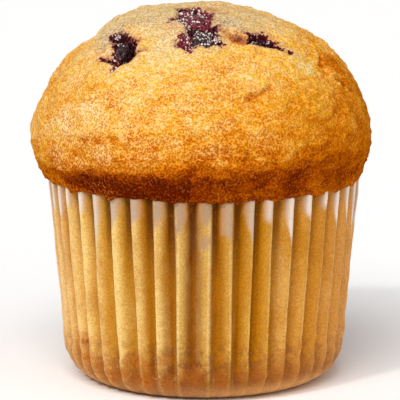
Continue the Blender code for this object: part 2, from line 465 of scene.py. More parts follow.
# where berries broke the crust: an outline of marks, depth in mm, seen from behind or not
crustOpenings = {
    "left": (
        [(-18.2, 32.2), (-17.4, 33.0), (-16.4, 33.2), (-15.8, 33.5), (-14.8, 33.2), (-14.0, 32.4), (-13.4, 31.8),
         (-12.5, 31.6), (-13.0, 30.8), (-13.1, 30.0), (-11.7, 29.9), (-12.8, 29.4), (-13.6, 28.7), (-14.1, 28.0),
         (-14.8, 27.4), (-15.8, 26.8), (-17.0, 26.1), (-17.7, 25.9), (-16.8, 26.8), (-17.3, 27.4), (-18.6, 27.8),
         (-20.0, 28.2), (-18.6, 28.3), (-17.2, 28.1), (-17.3, 29.0), (-17.5, 29.8), (-17.3, 30.8), (-17.6, 31.6)],
        1.7, False),
    "leftHollow": (
        [(-14.8, 32.7), (-13.8, 32.0), (-13.2, 31.0), (-13.3, 30.1), (-12.3, 29.8), (-13.4, 29.0), (-14.2, 28.2),
         (-14.9, 28.6), (-15.0, 30.0), (-14.9, 31.2)],
        4.2, False),
    "middle": (
        [(-4.6, 38.2), (-3.2, 38.0), (-2.0, 38.3), (-0.6, 38.2), (0.8, 38.0), (2.0, 37.8), (2.6, 37.4), (2.3, 36.2),
         (1.8, 35.6), (2.0, 34.6), (3.0, 34.8), (3.8, 34.5), (3.4, 33.4), (3.5, 32.4), (3.8, 31.6), (4.8, 31.2),
         (4.3, 30.8), (3.0, 31.2), (2.2, 31.0), (1.8, 30.5), (0.6, 30.8), (-1.0, 30.9), (-1.6, 30.2), (-1.8, 29.5),
         (-2.8, 30.0), (-4.0, 30.5), (-4.9, 30.7), (-4.4, 31.8), (-3.6, 33.0), (-2.7, 33.8), (-2.5, 34.5),
         (-3.2, 35.1), (-4.2, 35.6), (-5.2, 35.9), (-6.2, 35.4), (-5.8, 36.2), (-4.6, 36.4), (-4.3, 37.2)],
        1.0, False),
    "right": (
        [(8.8, 33.4), (10.0, 33.3), (11.2, 33.0), (12.2, 33.3), (12.8, 33.0), (13.6, 32.6), (14.0, 31.8),
         (15.0, 31.4), (16.0, 30.8), (16.4, 30.2), (16.2, 29.6), (15.2, 30.0), (14.4, 30.4), (13.6, 30.4),
         (12.8, 30.8), (11.6, 31.0), (10.4, 31.2), (9.8, 31.8), (9.6, 32.6)],
        1.6, False),
    "rightHollow": (
        [(10.2, 32.7), (11.4, 32.6), (12.8, 32.2), (13.6, 31.4), (13.2, 30.9), (11.8, 31.3), (10.4, 31.7)],
        2.8, False),
    "rightDot": ([(17.5, 29.1), (17.9, 29.5), (18.3, 29.4), (18.4, 29.1), (17.9, 28.9)], 2.8, False),
    "backLeft": (
        [(11.6, 32.2), (12.8, 33.4), (14.6, 33.2), (16.0, 32.4), (17.6, 31.2), (18.8, 30.8), (17.4, 29.6),
         (16.0, 28.2), (14.4, 28.6), (13.0, 28.2), (12.4, 29.8), (10.8, 30.6)],
        1.2, True),
    "backRight": (
        [(-14.6, 33.2), (-13.4, 34.6), (-11.4, 35.2), (-9.2, 35.6), (-7.4, 35.0), (-7.8, 33.6), (-6.6, 32.8),
         (-8.8, 32.0), (-11.0, 31.8), (-12.6, 31.0), (-13.2, 32.2)],
        1.2, True),
}


def copyOfNode(node, name):
    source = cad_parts[node]
    piece = bpy.data.objects.new(name, source.data.copy())
    bpy.context.scene.collection.objects.link(piece)
    startEditing(piece)
    bpy.ops.mesh.remove_doubles(threshold=0.01 * mm)
    stopEditing()
    return piece


def distanceToLine(points, start, end):
    along = end - start
    share = np.clip((points - start) @ along / max(along @ along, 1e-12), 0, 1)
    nearest = start + share[:, None] * along
    return np.linalg.norm(points - nearest, axis=1), nearest


def distanceToMarks(points, marks, behind):
    # distance to a line of marks, and how far above the line a point lies
    spots = [crownSpot(mark, behind) for mark in marks]
    gap = np.full(len(points), 1.0)
    above = np.zeros(len(points))
    for start, end in zip(spots, spots[1:]):
        distance, nearest = distanceToLine(points, start, end)
        closer = distance < gap
        gap = np.where(closer, distance, gap)
        above = np.where(closer, points[:, 2] - nearest[:, 2], above)
    return gap, above


def creaseShift(points, marks, width, depth, lip, behind):
    # a groove along the marks, with a lip on its upper side
    gap, above = distanceToMarks(points, marks, behind)
    near = gap < 4 * width * mm
    reach = np.ones(len(points))
    reach[near] = 1 + 0.5 * noiseOf(points[near], 1.2 * mm, 3)
    across = gap / (width * mm * 0.55) / reach
    groove = -depth * mm * np.exp(-across * across)
    beside = (gap - width * mm) / (width * mm * 0.8)
    ridge = lip * mm * np.exp(-beside * beside) * smoothStep(above, -0.2 * mm, 0.8 * mm)
    return groove + ridge


def outlineGap(points, marks, behind):
    # distance from an outline laid on the crown, negative inside it
    spots = np.array([crownSpot(mark, behind) for mark in marks])
    middle = spots.mean(axis=0)
    axes = np.array(slopeAxes(middle)[:2])
    corners = (spots - middle) @ axes.T
    place = (points - middle) @ axes.T
    gap = np.full(len(points), 1.0)
    inside = np.zeros(len(points), dtype=bool)
    for start, end in zip(corners, np.roll(corners, -1, axis=0)):
        gap = np.minimum(gap, distanceToLine(place, start, end)[0])
        crossing = (start[1] > place[:, 1]) != (end[1] > place[:, 1])
        rise = end[1] - start[1] if abs(end[1] - start[1]) > 1e-9 else 1e-9
        level = start[0] + (place[:, 1] - start[1]) / rise * (end[0] - start[0])
        inside ^= crossing & (place[:, 0] < level)
    return np.where(inside, -gap, gap)


def openingEdge(points, marks, behind):
    # distance from the ragged edge of an opening, negative inside
    edge = np.full(len(points), 0.05)
    middle = np.mean([crownSpot(mark, behind) for mark in marks], axis=0)
    near = np.linalg.norm(points - middle, axis=1) < 16 * mm
    edge[near] = outlineGap(points[near], marks, behind)
    near = np.abs(edge) < 3 * mm
    edge[near] += 0.22 * mm * noiseOf(points[near], 0.9 * mm, 8, 2)
    return edge


def hangOverCase(points):
    # the crust's edge sags over the paper, more in some places than in others
    turn = np.arctan2(points[:, 1], points[:, 0])
    reach = np.hypot(points[:, 0], points[:, 1])
    ring = np.stack([np.cos(turn), np.sin(turn), np.zeros(len(points))], axis=1) * 31 * mm
    edge = caseSettings["rimRadius"] + 0.15 * mm
    outside = smoothStep(reach, edge - 0.3 * mm, edge + 0.35 * mm)
    low = 1 - smoothStep(points[:, 2], rimHeight + 0.6 * mm, rimHeight + 4.5 * mm)
    near = (outside * low) > 0
    sag = np.zeros(len(points))
    sag[near] = 0.55 + 0.75 * noiseOf(ring[near], 4.2 * mm, 31, 2) + 0.35 * noiseOf(ring[near], 1.5 * mm, 5, 1)
    points[:, 2] -= cakeSettings["droop"] * np.clip(sag, 0.15, 1.3) * outside * low
    # and keeps clear of the paper's crests
    reach = np.maximum(reach, 1e-6)
    wanted = np.where(near & (reach > edge - 0.6 * mm), np.maximum(reach, edge), reach)
    points[:, 0] *= wanted / reach
    points[:, 1] *= wanted / reach
    return points


def drawInBody(points):
    # what goes down into the case stays clear of the paper's folds
    settings = caseSettings
    reach = np.hypot(points[:, 0], points[:, 1])
    room = settings["rimRadius"] - settings["pleatDepth"] * 1.25 - 0.4 * mm
    low = 1 - smoothStep(points[:, 2], rimHeight - 1.2 * mm, rimHeight - 0.2 * mm)
    wanted = reach + (np.minimum(reach, room) - reach) * low
    points[:, 0] *= wanted / np.maximum(reach, 1e-6)
    points[:, 1] *= wanted / np.maximum(reach, 1e-6)
    return points


def shapeCrown(piece):
    points = readPoints(piece)
    normals = readNormals(piece)
    shift = np.full(len(points), -cakeSettings["sink"])
    for middle, radius, height in crownSwells.values():
        away = np.linalg.norm(points - np.array(middle) * mm, axis=1) / (radius * mm)
        shift += height * mm * np.exp(-away * away)
    shift *= smoothStep(points[:, 2], rimHeight - 0.5 * mm, rimHeight + 1.5 * mm)
    writePoints(piece, points + normals * shift[:, None])


def sculptCrust(piece):
    points = drawInBody(readPoints(piece))
    normals = readNormals(piece)
    onCrown = smoothStep(points[:, 2], rimHeight - 0.5 * mm, rimHeight + 1.5 * mm)
    shown = onCrown > 0
    place = points[shown]
    relief = np.zeros(len(place))
    for number, (size, height, flatter) in enumerate(crustLayers.values()):
        squashed = place * np.array((1, 1, flatter))
        relief += height * noiseOf(squashed, size, cakeSettings["seed"] + number * 5, 2)
    fold = np.zeros(len(place))
    for marks, width, depth, lip, behind in crustCreases.values():
        fold += creaseShift(place, marks, width, depth, lip, behind)
    edge = np.full(len(place), 0.05)
    hollow = np.zeros(len(place))
    for marks, depth, behind in crustOpenings.values():
        own = openingEdge(place, marks, behind)
        hollow = np.maximum(hollow, depth * mm * smoothStep(-own, -0.3 * mm, (0.5 + 0.3 * depth) * mm))
        edge = np.minimum(edge, own)
    lip = 0.25 * mm * np.exp(-((edge - 0.8 * mm) / (0.6 * mm)) ** 2)
    lumps = 0.5 * mm * noiseOf(place, 1.1 * mm, 23, 2) * smoothStep(-edge, 0, 0.5 * mm)
    shift = (relief + fold + lip + lumps - hollow) * onCrown[shown]
    points[shown] = place + normals[shown] * shift[:, None]
    writePoints(piece, hangOverCase(points))
    values = np.zeros(len(points))
    values[shown] = relief / mm
    storeAttribute(piece, "relief", values)
    values[shown] = fold / mm
    storeAttribute(piece, "fold", values)
    values[shown] = hollow / mm
    storeAttribute(piece, "hollow", values)
    values[:] = 50
    values[shown] = edge / mm
    storeAttribute(piece, "opening", values)


def rebuildBody(piece):
    # the body inside the case isn't seen: a plain taper down to the base does for it
    level = cakeSettings["hiddenBelow"]
    startEditing(piece)
    bpy.ops.mesh.bisect(plane_co=(0, 0, level), plane_no=(0, 0, 1), clear_inner=True)
    bpy.ops.mesh.extrude_region_move(TRANSFORM_OT_translate={"value": (0, 0, cakeSettings["bodyFoot"] - level)})
    taper = cakeSettings["bodyTaper"]
    bpy.ops.transform.resize(value=(taper, taper, 1), center_override=(0, 0, 0))
    bpy.ops.mesh.edge_face_add()
    bpy.ops.mesh.select_all(action="SELECT")
    bpy.ops.mesh.normals_make_consistent(inside=False)
    stopEditing()


def closedSkin(piece):
    # the crown with the berries' pockets closed over
    hull = bpy.data.objects.new("crownHull", piece.data.copy())
    bpy.context.scene.collection.objects.link(hull)
    startEditing(hull)
    bpy.ops.mesh.convex_hull()
    stopEditing()
    skin = crownTree(hull.data)
    bpy.data.objects.remove(hull)
    return skin


def fillPocket(node, skin):
    low, high = (Vector(corner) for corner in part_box(node))
    middle = (low + high) / 2
    bpy.ops.object.select_all(action="DESELECT")
    bpy.ops.mesh.primitive_ico_sphere_add(subdivisions=4, radius=(high - low).length / 3.46 + 0.8 * mm)
    plug = bpy.context.object
    points = readPoints(plug)
    for number, point in enumerate(points):
        hit, _, _, distance = skin.ray_cast(middle, Vector(point))
        if hit is not None and distance < np.linalg.norm(point):
            points[number] *= distance / np.linalg.norm(point)
    writePoints(plug, points + np.array(middle))
    return plug


def makeCakeBody():
    piece = copyOfNode("cake", "muffinCake")
    skin = closedSkin(piece)
    plugs = [fillPocket(node, skin) for node in berryShapes]
    pick(piece)
    for plug in plugs:
        plug.select_set(True)
    bpy.ops.object.join()
    applyModifier(piece, "REMESH", mode="VOXEL", voxel_size=cakeSettings["voxel"], use_smooth_shade=True)
    applyModifier(piece, "SMOOTH", factor=0.5, iterations=cakeSettings["smoothing"])
    rebuildBody(piece)
    shapeCrown(piece)
    return piece


cake = makeCakeBody()
crownFaces = crownTree(cake.data)
sculptCrust(cake)
pick(cake)
bpy.ops.object.shade_smooth()
print("cake sculpted,", len(cake.data.polygons), "faces")


# what the oven and the berries did to the crust, with painted shade and painted highlights among it, kept as values on
# the cake's points

# places that took more or less colour, with some painted shade and painted highlights: mark, radius in mm, amount, seen
# from behind or not
crustPatches = {
    "flap": ((26.6, 27.0), 4.0, 0.17, False),
    "flapSpot": ((24.3, 27.0), 0.9, 0.24, False),
    # painted highlight along the flap's lip
    "flapHighlight": ((27.8, 23.4), 0.9, -0.34, False),
    "flapHighlightEnd": ((29.6, 22.4), 0.9, -0.36, False),
    "besideFlap": ((21.6, 26.4), 2.8, -0.16, False),
    # painted highlight on the right wrinkle
    "wrinkle": ((31.8, 7.2), 1.2, -0.25, False),
    "flapLow": ((29.5, 18.5), 5.0, 0.05, False),
    "smallFoldShade": ((10.5, 20.4), 2.0, 0.05, False),
    "blotch": ((18.4, 18.8), 2.8, 0.05, False),
    "paleLow": ((18.2, 8.6), 2.6, -0.09, False),
    "middleTan": ((-2.0, 18.0), 2.2, 0.06, False),
    "orangeStreak": ((-20.4, 11.7), 1.7, 0.24, False),
    "orangeStart": ((-23.0, 12.0), 1.2, 0.20, False),
    "orangeEnd": ((-17.4, 12.2), 1.3, 0.20, False),
    "belowMiddle": ((2.0, 25.8), 3.4, 0.10, False),
    # a pale patch with a painted sheen
    "paleSheenLeft": ((-22.0, 16.8), 4.0, -0.06, False),
    "paleMiddle": ((-11.0, 19.0), 6.0, 0.01, False),
    "spotOne": ((-13.6, 34.8), 0.7, 0.40, False),
    "spotTwo": ((-9.6, 34.2), 0.9, 0.30, False),
    "berryCorner": ((-12.4, 32.2), 1.3, 0.40, False),
    "rightSplitShade": ((7.2, 32.4), 1.9, 0.55, False),
    "berryCornerLow": ((-11.0, 30.0), 0.9, 0.45, False),
    "backBrown": ((12.0, 18.0), 6.0, 0.22, True),
    "backPale": ((-10.0, 20.0), 6.0, -0.16, True),
}


# how brown the crust is, with painted shade in the dark band under the crown's overhanging edge and painted light
# towards its far left: rows by share of the crown's height, columns from its left to its right
bakeAndShadeSides = [-1.0, -0.87, -0.68, -0.4, -0.1, 0.2, 0.5, 0.75, 0.95]
bakeAndShadeTable = {
    0.00: [0.62, 0.64, 0.78, 0.86, 0.84, 0.77, 0.71, 0.67, 0.62],
    0.05: [0.62, 0.72, 0.88, 0.93, 0.90, 0.81, 0.75, 0.71, 0.66],
    0.10: [0.54, 0.70, 0.93, 0.95, 0.92, 0.83, 0.77, 0.73, 0.68],
    0.13: [0.42, 0.56, 0.80, 0.86, 0.88, 0.83, 0.77, 0.73, 0.66],
    0.18: [0.42, 0.48, 0.51, 0.65, 0.78, 0.79, 0.69, 0.70, 0.62],
    0.23: [0.40, 0.43, 0.40, 0.54, 0.62, 0.66, 0.57, 0.65, 0.56],
    0.30: [0.34, 0.34, 0.37, 0.43, 0.50, 0.56, 0.49, 0.49, 0.53],
    0.38: [0.32, 0.31, 0.32, 0.34, 0.41, 0.47, 0.44, 0.43, 0.49],
    0.47: [0.33, 0.31, 0.29, 0.31, 0.37, 0.37, 0.38, 0.40, 0.47],
    0.58: [0.29, 0.27, 0.28, 0.27, 0.32, 0.37, 0.32, 0.36, 0.44],
    0.70: [0.28, 0.23, 0.22, 0.19, 0.20, 0.24, 0.25, 0.21, 0.40],
    0.82: [0.16, 0.20, 0.20, 0.14, 0.14, 0.20, 0.24, 0.25, 0.35],
    0.96: [0.12, 0.17, 0.18, 0.18, 0.20, 0.26, 0.22, 0.21, 0.27],
}


def bakeAndShadeAt(height, side):
    columns = np.array([np.interp(side, bakeAndShadeSides, row) for row in bakeAndShadeTable.values()])
    heights = np.array(list(bakeAndShadeTable))
    row = np.clip(np.searchsorted(heights, height) - 1, 0, len(heights) - 2)
    share = np.clip((height - heights[row]) / (heights[row + 1] - heights[row]), 0, 1)
    each = np.arange(len(height))
    return columns[row, each] * (1 - share) + columns[row + 1, each] * share


def markBakeAndShade(piece):
    points = readPoints(piece)
    height = (points[:, 2] - rimHeight) / crownHeight
    patches = noiseOf(points, 9 * mm, 11, 2)
    # the pale middle, where the batter broke through last
    away = np.hypot(points[:, 0] * 0.88 + 4.5 * mm, points[:, 1] + 3 * mm)
    pale = 1 - smoothStep(away, 11 * mm + patches * 5 * mm, 23 * mm + patches * 5 * mm)
    pale *= smoothStep(height, 0.62, 0.86)
    storeAttribute(piece, "pale", np.maximum(pale, gatherSpots(points, paleSpots)))
    side = points[:, 0] / np.maximum(np.hypot(points[:, 0], points[:, 1]), 1e-6)
    bakeAndShade = bakeAndShadeAt(height + 0.015 * patches, side)
    for mark, radius, amount, behind in crustPatches.values():
        away = np.linalg.norm((points - crownSpot(mark, behind)) * np.array((1, 1, 1.5)), axis=1)
        bakeAndShade += amount * (1 - smoothStep(away, 0.35 * radius * mm, 1.3 * radius * mm))
    storeAttribute(piece, "bakeAndShade", bakeAndShade)


# juice that ran into the crust, and greyer dough beside it: mark, radius in mm and strength
stainSpots = [
    ((0.0, 38.6), 1.5, 0.7),
    ((2.6, 38.3), 1.5, 0.8),
    ((5.0, 37.4), 1.2, 0.8),
    ((-5.6, 34.6), 1.2, 0.4),
    ((-19.6, 28.0), 0.9, 0.5),
]
doughSpots = [
    ((5.2, 35.6), 2.6, 1.0),
    ((8.0, 34.4), 1.8, 0.8),
    ((-19.2, 30.8), 1.7, 0.9),
    ((-19.0, 33.0), 2.0, 0.8),
    ((-16.0, 35.0), 2.2, 0.7),
    ((-10.5, 35.8), 2.6, 0.5),
]
paleSpots = [
    ((-7.5, 32.6), 4.4, 0.75),
    ((-15.0, 34.0), 4.0, 0.8),
    ((-10.0, 29.0), 3.4, 0.4),
    ((11.0, 35.0), 3.6, 0.6),
    ((21.6, 26.6), 2.2, 0.5),
]

goldSpots = [((26.6, 27.0), 4.0, 0.9)]

# where pale sugary grains and painted glints gather on the crust, in front: mark, radius in mm and strength
sugarAndGlintSpots = [
    ((-18.9, 31.4), 1.2, 1.0),
    ((-18.7, 29.4), 1.3, 1.0),
    ((-17.0, 34.0), 1.4, 0.7),
    ((6.0, 35.8), 2.4, 0.8),
    ((-27.0, 15.6), 3.6, 0.9),
    ((-22.0, 18.2), 3.0, 1.0),
    ((-20.0, 15.8), 2.2, 0.9),
    ((-19.6, 9.2), 2.4, 0.7),
    ((-28.5, 8.5), 3.0, 0.6),
    ((-24.0, 6.0), 3.0, 0.5),
    ((-14.0, 7.0), 3.0, 0.2),
    ((0.0, 17.0), 4.5, 0.12),
    ((-19.6, 1.8), 2.6, 1.0),
    ((-15.0, 21.0), 5.5, 0.45),
    ((-25.0, 24.0), 4.0, 0.5),
    ((9.0, 26.0), 5.0, 0.35),
    ((-8.0, 24.0), 5.0, 0.3),
    ((2.0, 9.0), 4.0, 0.12),
]


def gatherSpots(points, spots, least=0.0):
    gathered = np.full(len(points), least)
    for mark, radius, strength in spots:
        away = np.linalg.norm(points - crownSpot(mark), axis=1) / (radius * mm)
        gathered = np.maximum(gathered, strength * np.exp(-away * away))
    return gathered


def markSugarAndGlints(piece):
    points = readPoints(piece)
    side = points[:, 0] / np.maximum(np.hypot(points[:, 0], points[:, 1]), 1e-6)
    # a thin dusting of sugar with painted glints, less to the right and none low on the crown
    dustAndGlint = np.clip(0.14 + 1.0 * noiseOf(points * np.array((1, 1, 1.5)), 4.5 * mm, 23, 3), 0.03, 0.36)
    dustAndGlint *= (1 - 0.75 * smoothStep(side, 0.0, 0.6)) * smoothStep(points[:, 2], 44 * mm, 52 * mm)
    gathered = np.maximum(gatherSpots(points, sugarAndGlintSpots), dustAndGlint)
    storeAttribute(piece, "stain", gatherSpots(points, stainSpots))
    storeAttribute(piece, "dough", gatherSpots(points, doughSpots))
    behind = smoothStep(points[:, 1], -4 * mm, 12 * mm)
    scattered = np.clip(noiseOf(points, 6 * mm, 57, 2) * 0.9 + 0.04, 0.03, 0.3)
    storeAttribute(piece, "sugarAndGlints", gathered * (1 - behind) + scattered * behind)


def markGold(piece):
    # the right-hand side took a deeper gold, except near the top
    points = readPoints(piece)
    side = points[:, 0] / np.maximum(np.hypot(points[:, 0], points[:, 1]), 1e-6)
    height = (points[:, 2] - rimHeight) / crownHeight
    gold = smoothStep(side, 0.1, 0.7) * (1 - smoothStep(height, 0.50, 0.80))
    storeAttribute(piece, "gold", np.maximum(gold, gatherSpots(points, goldSpots)))


# how the juice looks in places: mark, radius in mm, how wine-red, how many painted glints
juiceSpots = {
    "leftSkin": ((-15.6, 30.8), 2.6, 0.0, 0.1),
    "leftEdge": ((-17.4, 32.0), 1.2, 0.0, 1.0),
    "leftSide": ((-17.2, 29.8), 0.9, 0.1, 1.0),
    "leftFoot": ((-16.2, 27.6), 1.5, 0.4, 1.0),
    "topLeft": ((-2.8, 37.2), 3.4, 0.45, 0.95),
    "topWine": ((1.0, 36.4), 2.8, 1.0, 0.2),
    "lowDark": ((0.7, 32.6), 2.8, 0.12, 0.85),
    "lowRed": ((-3.8, 32.0), 1.9, 1.0, 0.3),
    "lowTip": ((-2.0, 30.4), 1.3, 0.6, 0.8),
    "rightDark": ((12.0, 32.2), 2.8, 0.0, 0.0),
    "rightEnd": ((15.0, 30.8), 1.0, 0.4, 0.6),
    "dot": ((18.0, 29.2), 1.2, 0.0, 0.0),
}


def markJuice(piece):
    points = readPoints(piece)
    weights = np.full(len(points), 0.02)
    wine, wet = weights * 0.45, weights * 0.6
    # grains is the share of painted glints
    for mark, radius, red, grains in juiceSpots.values():
        away = np.linalg.norm(points - crownSpot(mark), axis=1) / (radius * mm)
        own = np.exp(-away * away)
        weights, wine, wet = weights + own, wine + own * red, wet + own * grains
    storeAttribute(piece, "wine", wine / weights)
    storeAttribute(piece, "wet", wet / weights)


crustLook = {
    "steps": {
        0.00: screenColour(252, 218, 156),
        0.12: screenColour(251, 206, 134),
        0.25: screenColour(247, 190, 106),
        0.38: screenColour(239, 168, 70),
        0.52: screenColour(222, 136, 32),
        0.65: screenColour(198, 106, 9),
        0.78: screenColour(166, 76, 2),
        0.88: screenColour(135, 52, 0),
        1.00: screenColour(100, 27, 0),
    },
    "raw": screenColour(230, 205, 162),
    "rawDark": screenColour(198, 160, 104),
    "dough": screenColour(216, 192, 156),
    "doughDark": screenColour(160, 120, 78),
    "stain": screenColour(186, 84, 72),
    "sugarAndGlints": screenColour(255, 230, 192),
    "gold": (1.0, 1.0, 0.74, 1),
    "honey": (1.0, 0.86, 0.18, 1),
    "pitShade": (0.74, 0.75, 0.77, 1),
    "glisten": screenColour(224, 134, 66),
    "foldShade": screenColour(222, 176, 120),
    "wash": screenColour(198, 156, 124),
    "juice": screenColour(112, 26, 46),
    "grain": 0.32 * mm,
    "speck": 0.42 * mm,
}

juiceLook = {
    "skin": screenColour(18, 4, 4),
    "skinBlue": screenColour(66, 34, 36),
    "pulp": screenColour(134, 50, 62),
    "pulpDark": screenColour(64, 10, 20),
    "pith": screenColour(178, 112, 114),
    "glint": screenColour(255, 238, 230),
    # painted shade: near black for the deep hollows
    "hollow": screenColour(10, 2, 2),
}


def juicyShade(tree, place):
    # dark skin, wine-red pulp and painted glints
    look = juiceLook
    patches = noiseNode(tree, place, 1.8 * mm, 3, 0.6)
    specks = noiseNode(tree, place, 0.45 * mm, 3, 0.6)
    skin = mixNode(tree, rangeNode(tree, specks, 0.4, 0.6), look["skin"], look["skinBlue"])
    pulp = mixNode(tree, rangeNode(tree, specks, 0.36, 0.58), look["pulpDark"], look["pulp"])
    pulp = mixNode(tree, rangeNode(tree, specks, 0.58, 0.68, 0, 0.8), pulp, look["pith"])
    red = mathNode(tree, "ADD", patches, rangeNode(tree, attributeValue(tree, "wine"), 0, 1, -0.2, 0.2))
    shade = mixNode(tree, rangeNode(tree, red, 0.44, 0.56, 0, 1, True), skin, pulp)
    spread = noiseNode(tree, place, 1.3 * mm, 2, 0.5)
    spread = mathNode(tree, "ADD", spread, rangeNode(tree, attributeValue(tree, "wet"), 0, 1, -0.16, 0.08))
    reach = rangeNode(tree, spread, 0.38, 0.56, 0.0, 0.52)
    inGlint = mathNode(tree, "SUBTRACT", reach, cellNode(tree, place, 0.50 * mm))
    return mixNode(tree, rangeNode(tree, inGlint, 0.0, 0.14, 0, 0.9), shade, look["glint"])


def bakeAndShadeAmount(tree, streaks, grain, pale):
    # 0 is straw-coloured, 1 is toasted; the darker values also carry painted shade under the crown's edge
    bakedAndShaded = attributeValue(tree, "bakeAndShade")
    blotches = noiseNode(tree, objectPlace(tree, (1, 1, 1.7)), 5 * mm, 3, 0.55, 0.3)
    amount = mathNode(tree, "ADD", bakedAndShaded, rangeNode(tree, blotches, 0.3, 0.7, 0.05, 0.25))
    calm = rangeNode(tree, bakedAndShaded, 0.60, 0.86, 1, 0.5)
    calm = mathNode(tree, "MULTIPLY", calm, rangeNode(tree, attributeValue(tree, "gold"), 0, 1, 1, 0.62))
    streaky = mathNode(tree, "MULTIPLY", rangeNode(tree, streaks, 0.34, 0.66, -0.11, 0.11), calm)
    # painted glints and shade in specks: the crust is lighter on the bump's peaks and a little darker in its hollows
    bright = rangeNode(tree, grain, 0.51, 0.64, -0.10, -0.26)
    dark = rangeNode(tree, grain, 0.44, 0.32, 0, 0.03)
    speckle = mathNode(tree, "MULTIPLY", mathNode(tree, "ADD", bright, dark), calm)
    amount = mathNode(tree, "ADD", amount, mathNode(tree, "ADD", streaky, speckle))
    amount = mathNode(tree, "SUBTRACT", amount, rangeNode(tree, attributeValue(tree, "relief"), -0.3, 0.4, -0.05, 0.05))
    # painted shade: the crust is browner down in the creases
    amount = mathNode(tree, "SUBTRACT", amount, rangeNode(tree, attributeValue(tree, "fold"), -0.6, 0.0, -0.14, 0.0))
    return mathNode(tree, "SUBTRACT", amount, mathNode(tree, "MULTIPLY", pale, 0.12))


def stainedShade(tree, shade, place):
    # juice soaked into the crust round each opening, and the berries' pulp inside it
    look = crustLook
    ragged = noiseNode(tree, place, 0.8 * mm, 3, 0.65)
    opening = attributeValue(tree, "opening")
    edge = mathNode(tree, "ADD", opening, rangeNode(tree, ragged, 0.3, 0.7, -0.7, 0.7))
    shade = mixNode(tree, rangeNode(tree, edge, 0.2, 1.5, 0.45, 0, True), shade, look["wash"])
    soaked = mathNode(tree, "MULTIPLY", attributeValue(tree, "stain"), rangeNode(tree, ragged, 0.36, 0.56))
    shade = mixNode(tree, soaked, shade, look["stain"])
    shade = mixNode(tree, rangeNode(tree, edge, 0.0, 0.5, 1, 0, True), shade, look["juice"])
    shade = mixNode(tree, rangeNode(tree, edge, -0.35, 0.1, 1, 0, True), shade, juicyShade(tree, place))
    # painted shade: deep hollows go near black
    return mixNode(tree, rangeNode(tree, attributeValue(tree, "hollow"), 1.3, 2.4, 0, 1, True), shade, juiceLook["hollow"])


def crustMaterial():
    material, tree, shader = newMaterial("bakedCrust")
    look = crustLook
    place = objectPlace(tree)
    streaks = noiseNode(tree, objectPlace(tree, (1, 1, 1.8)), 1.7 * mm, 4, 0.6, 0.5)
    fine = noiseNode(tree, place, look["grain"], 3, 0.8)
    pits = rangeNode(tree, cellNode(tree, place, look["speck"]), 0.1, 0.75)
    grain = mathNode(tree, "ADD", mathNode(tree, "MULTIPLY", fine, 0.7), mathNode(tree, "MULTIPLY", pits, 0.3))
    pale = attributeValue(tree, "pale")
    bakeAndShade = bakeAndShadeAmount(tree, streaks, grain, pale)
    shade = rampNode(tree, bakeAndShade, list(look["steps"].items()))
    richness = noiseNode(tree, objectPlace(tree, (1, 1, 1.5)), 1.1 * mm, 3, 0.55, 0.4)
    shade = mixNode(tree, rangeNode(tree, richness, 0.42, 0.56, 0, 0.9), shade, look["honey"], "MULTIPLY")
    rawShare = mathNode(tree, "MULTIPLY", pale, rangeNode(tree, streaks, 0.3, 0.7, 0.95, 0.35))
    grained = rangeNode(tree, grain, 0.40, 0.60)
    shade = mixNode(tree, rawShare, shade, mixNode(tree, grained, look["rawDark"], look["raw"]))
    dough = mixNode(tree, grained, look["doughDark"], look["dough"])
    shade = mixNode(tree, attributeValue(tree, "dough"), shade, dough)
    folded = rangeNode(tree, attributeValue(tree, "fold"), -0.7, -0.1, 0.8, 0, True)
    shade = mixNode(tree, folded, shade, look["foldShade"], "MULTIPLY")
    shade = mixNode(tree, attributeValue(tree, "gold"), shade, look["gold"], "MULTIPLY")
    # painted glints with sugar grains: pale specks on the grain's peaks
    crystalAndGlintGrain = mathNode(tree, "ADD", grain, rangeNode(tree, streaks, 0.3, 0.7, -0.06, 0.06))
    sugarAndGlintShare = mathNode(tree, "MULTIPLY", rangeNode(tree, crystalAndGlintGrain, 0.50, 0.62, 0, 0.7), attributeValue(tree, "sugarAndGlints"))
    sugarAndGlintShare = mathNode(tree, "MULTIPLY", sugarAndGlintShare, rangeNode(tree, bakeAndShade, 0.36, 0.62, 1, 0))
    shade = mixNode(tree, sugarAndGlintShare, shade, look["sugarAndGlints"])
    # painted glints: the dark crust is lighter in specks, as if it glistened
    glow = mathNode(tree, "MULTIPLY", rangeNode(tree, grain, 0.57, 0.68, 0, 0.32), rangeNode(tree, bakeAndShade, 0.45, 0.70))
    patchy = mathNode(tree, "ADD", rangeNode(tree, streaks, 0.42, 0.60, 0.05, 0.85), attributeValue(tree, "sugarAndGlints"))
    shade = mixNode(tree, mathNode(tree, "MULTIPLY", glow, patchy), shade, look["glisten"])
    # painted shade in the small pits of the bumped grain
    shade = mixNode(tree, rangeNode(tree, grain, 0.60, 0.38), shade, look["pitShade"], "MULTIPLY")
    tree.links.new(stainedShade(tree, shade, place), shader.inputs["Base Color"])
    tree.links.new(rangeNode(tree, grain, 0.35, 0.65, 0.42, 0.22), shader.inputs["Roughness"])
    coarse = bumpNode(tree, noiseNode(tree, place, 0.9 * mm, 3, 0.6), 0.35 * mm, 0.8)
    tree.links.new(bumpNode(tree, grain, 0.35 * mm, 0.8, coarse), shader.inputs["Normal"])
    shader.inputs["Specular IOR Level"].default_value = 0.0
    shader.inputs["Specular Tint"].default_value = (1.0, 0.8, 0.5, 1)
    return material


markBakeAndShade(cake)
markSugarAndGlints(cake)
markGold(cake)
markJuice(cake)
finishPiece(cake, crustMaterial(), ["cake"])
print("crust coloured")


# the paper case: a sheet folded into pleats and rolled round

